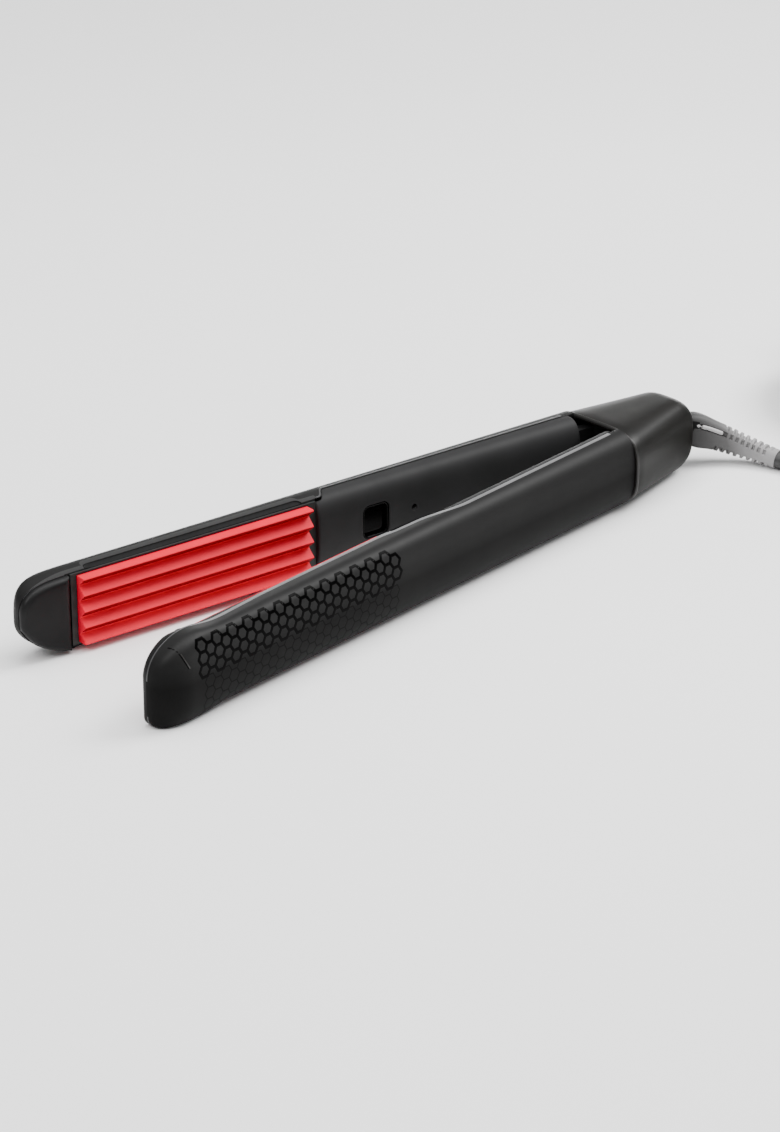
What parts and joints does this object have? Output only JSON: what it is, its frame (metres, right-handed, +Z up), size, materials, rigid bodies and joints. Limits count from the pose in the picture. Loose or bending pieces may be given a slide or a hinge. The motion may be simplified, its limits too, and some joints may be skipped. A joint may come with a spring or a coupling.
{
  "type": "hair crimping iron",
  "caption": "Hand-held electric hair crimper with ridged heated plates on slim hinged arms, a tapered hinge housing and a coiled mains cord.",
  "frame": {"origin": "centre of the underside of the crimper's bounding box, cord left out; the crimper lies on its side with its arms open", "axes": "+X along the middle line between the arms, from the tips to the cord end; +Y towards the arm with the push button; +Z up, along the hinge pin"},
  "size_m": [0.4316, 0.1124, 0.0393],
  "materials": {
    "shell_plastic": "satin black",
    "shield_plastic": "satin dark grey",
    "inner_plastic": "satin black",
    "carrier_plastic": "matt black, heat resistant",
    "plate_coating": "red ceramic coating on aluminium",
    "heater_ceramic": "off-white heater in film",
    "spring_steel": "spring steel",
    "sensor": "coated sensor",
    "frame_plastic": "glass-filled, dark grey",
    "screw_steel": "zinc plated",
    "lead_insulation": "white silicone sleeve",
    "board": "green circuit board",
    "component_plastic": "moulded",
    "gloss_black": "gloss black",
    "lamp_lens": "clear lens",
    "fuse_metal": "plain metal case",
    "housing_plastic": "satin black",
    "pin_steel": "plain steel",
    "washer_plastic": "natural",
    "swivel_plastic": "satin black",
    "boot_rubber": "matt dark grey",
    "cord_sheath": "matt black",
    "tie_fabric": "black hook-and-loop strap",
    "plug_plastic": "matt black",
    "pin_metal": "nickel plated"
  },
  "bodies": {
    "hinge_root": {"hinge_housing": "housing_plastic", "hinge_pin": "pin_steel", "thrust_washers": "washer_plastic", "opening_spring": "spring_steel", "swivel_retainer": "frame_plastic", "strain_relief": "boot_rubber", "cord_lead": "cord_sheath", "cord_coil": "cord_sheath", "coil_tie": "tie_fabric", "cord_tail": "cord_sheath", "plug_strain_relief": "plug_plastic", "plug_body": "plug_plastic", "plug_pins": "pin_metal"},
    "rear_arm": {"rear_outer_shell": "shell_plastic", "rear_heat_shield": "shield_plastic", "rear_tip_cover": "inner_plastic", "rear_inner_cover": "inner_plastic", "rear_plate_carrier": "carrier_plastic", "rear_crimping_plate": "plate_coating", "rear_heater": "heater_ceramic", "rear_heater_clip": "spring_steel", "rear_thermistor": "sensor", "rear_hinge_frame": "frame_plastic", "rear_frame_screws": "screw_steel", "rear_carrier_screws": "screw_steel", "rear_heater_leads": "lead_insulation", "control_board": "board", "board_components": "component_plastic", "button_bezel": "gloss_black", "tact_switch": "component_plastic", "led_lens": "lamp_lens"},
    "front_arm": {"front_outer_shell": "shell_plastic", "front_heat_shield": "shield_plastic", "front_tip_cover": "inner_plastic", "front_inner_cover": "inner_plastic", "front_plate_carrier": "carrier_plastic", "front_crimping_plate": "plate_coating", "front_heater": "heater_ceramic", "front_heater_clip": "spring_steel", "front_thermal_fuse": "fuse_metal", "front_hinge_frame": "frame_plastic", "front_frame_screws": "screw_steel", "front_carrier_screws": "screw_steel", "front_heater_leads": "lead_insulation"},
    "button": {"power_button": "gloss_black"},
    "cord_swivel": {"swivel_ring": "swivel_plastic"}
  },
  "joints": [
    {"name": "rear_arm_pivot", "type": "hinge", "parent": "hinge_root", "child": "rear_arm", "pos_m": [0.11087, 0, 0.01432], "axis": [0, 0, 1], "range_deg": [0, 6.05], "stiffness_Nm_per_rad": 1, "springref_deg": -17.19},
    {"name": "front_arm_pivot", "type": "hinge", "parent": "hinge_root", "child": "front_arm", "pos_m": [0.11087, 0, 0.01432], "axis": [0, 0, -1], "range_deg": [0, 6.05], "stiffness_Nm_per_rad": 1, "springref_deg": -17.19},
    {"name": "power_button_press", "type": "slide", "parent": "rear_arm", "child": "button", "axis": [0.107, 0.9943, 0], "range_m": [0, 0.0006], "stiffness_N_per_m": 800, "springref_m": -0.0005},
    {"name": "cord_swivel_turn", "type": "hinge", "parent": "hinge_root", "child": "cord_swivel", "pos_m": [0.13387, 0, 0.01432], "axis": [1, 0, 0], "continuous": true}
  ]
}
